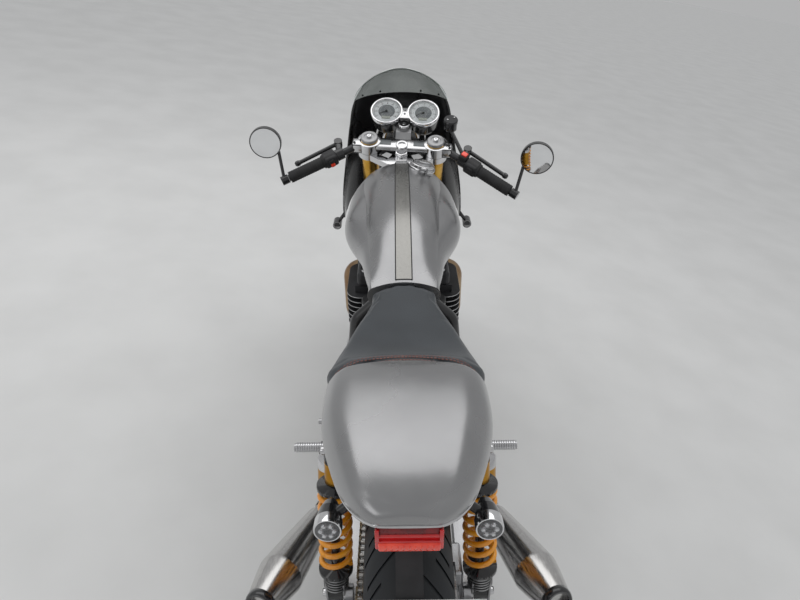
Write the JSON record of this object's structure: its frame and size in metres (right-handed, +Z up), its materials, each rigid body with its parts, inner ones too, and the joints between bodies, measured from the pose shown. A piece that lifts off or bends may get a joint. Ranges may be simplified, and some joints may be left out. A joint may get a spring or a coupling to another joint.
{
  "type": "cafe racer motorcycle",
  "caption": "Cafe racer motorcycle with half fairing, single seat and hump, leaning on its side stand; wheels turn, the fork steers, the stand folds and the filler lid opens.",
  "frame": {"origin": "bottom centre of the parked machine's box, on the ground", "axes": "+Y forward along the machine, +X to its right, +Z up; it leans to its left on the side stand"},
  "size_m": [0.8966, 2.0254, 1.1294],
  "materials": {
    "black_frame": "satin black frame enamel",
    "silver_paint": "satin silver metallic paint",
    "engine_black": "black engine paint, bright fin edges",
    "engine_grey": "bead blasted casting",
    "polished_alloy": "polished",
    "brushed_steel": "brushed stainless",
    "gold": "gold anodised",
    "yellow_spring": "gloss yellow powder coat",
    "chrome": "chrome",
    "black_rubber": "matt rubber",
    "tyre": "road tyre",
    "black_plastic": "textured black",
    "gloss_black": "gloss black",
    "leather": "dark grey grained leather",
    "red_lens": "clear red",
    "clear_lens": "clear",
    "smoke_screen": "light smoke",
    "disc_steel": "ground steel",
    "chain_steel": "oiled",
    "plate_white": "blank plate"
  },
  "bodies": {
    "chassis": {"airbox": "black_plastic", "cam_cover": "engine_black", "collector_box": "brushed_steel", "crankcase": "engine_black", "cylinders": "engine_black", "drive_chain": "chain_steel", "engine_covers": "polished_alloy", "fairing": "silver_paint", "fairing_stay": "black_frame", "front_indicators": "gloss_black", "fuel_tank": "silver_paint", "header_pipes": "brushed_steel", "headlight": "clear_lens", "main_frame": "black_frame", "number_plate": "plate_white", "pedals": "polished_alloy", "plate_hanger": "black_plastic", "radiator": "gloss_black", "rear_frame": "black_frame", "rear_indicators": "gloss_black", "rear_mudguard": "black_plastic", "rearsets": "polished_alloy", "screen": "smoke_screen", "seat_cowl": "silver_paint", "seat_pad": "leather", "shock_bodies": "gloss_black", "shock_reservoirs": "gold", "shock_springs": "yellow_spring", "silencers": "brushed_steel", "swingarm": "brushed_steel", "tail_light": "red_lens", "tank_strap": "brushed_steel", "throttle_bodies": "engine_grey"},
    "steering": {"brake_hoses": "black_rubber", "clip_ons": "gloss_black", "fork_legs": "chrome", "fork_tubes": "gold", "front_calipers": "gloss_black", "front_mudguard": "silver_paint", "gauges": "chrome", "grips": "black_rubber", "levers": "gloss_black", "mirrors": "gloss_black", "switch_units": "black_plastic", "triple_clamps": "polished_alloy"},
    "front_wheel": {"front_tyre": "tyre", "front_rim": "polished_alloy", "front_hub": "gloss_black", "front_discs": "disc_steel"},
    "rear_wheel": {"rear_tyre": "tyre", "rear_rim": "polished_alloy", "rear_hub": "gloss_black", "rear_sprocket": "disc_steel", "rear_disc": "disc_steel"},
    "stand": {"side_stand": "black_frame"},
    "lid": {"filler_lid": "polished_alloy"}
  },
  "joints": [
    {"name": "steer", "type": "hinge", "parent": "chassis", "child": "steering", "pos_m": [0.02901, 0.45506, 0.82276], "axis": [-0.1601, -0.3884, 0.9075], "range_deg": [-22, 34]},
    {"name": "front_wheel_spin", "type": "hinge", "parent": "steering", "child": "front_wheel", "pos_m": [0.12503, 0.71413, 0.29735], "axis": [0.9864, -0.0965, 0.1327], "continuous": true},
    {"name": "rear_wheel_spin", "type": "hinge", "parent": "chassis", "child": "rear_wheel", "pos_m": [0.1197, -0.70073, 0.30726], "axis": [0.9848, -0.0002, 0.1736], "continuous": true},
    {"name": "side_stand_fold", "type": "hinge", "parent": "chassis", "child": "stand", "pos_m": [0.00423, -0.00059, 0.17386], "axis": [-0.9848, -0.0002, 0.1736], "range_deg": [0, 98]},
    {"name": "filler_lid_open", "type": "hinge", "parent": "chassis", "child": "lid", "pos_m": [0.07459, 0.26766, 0.92666], "axis": [0.9976, 0.0001, -0.0698], "range_deg": [0, 95]}
  ]
}
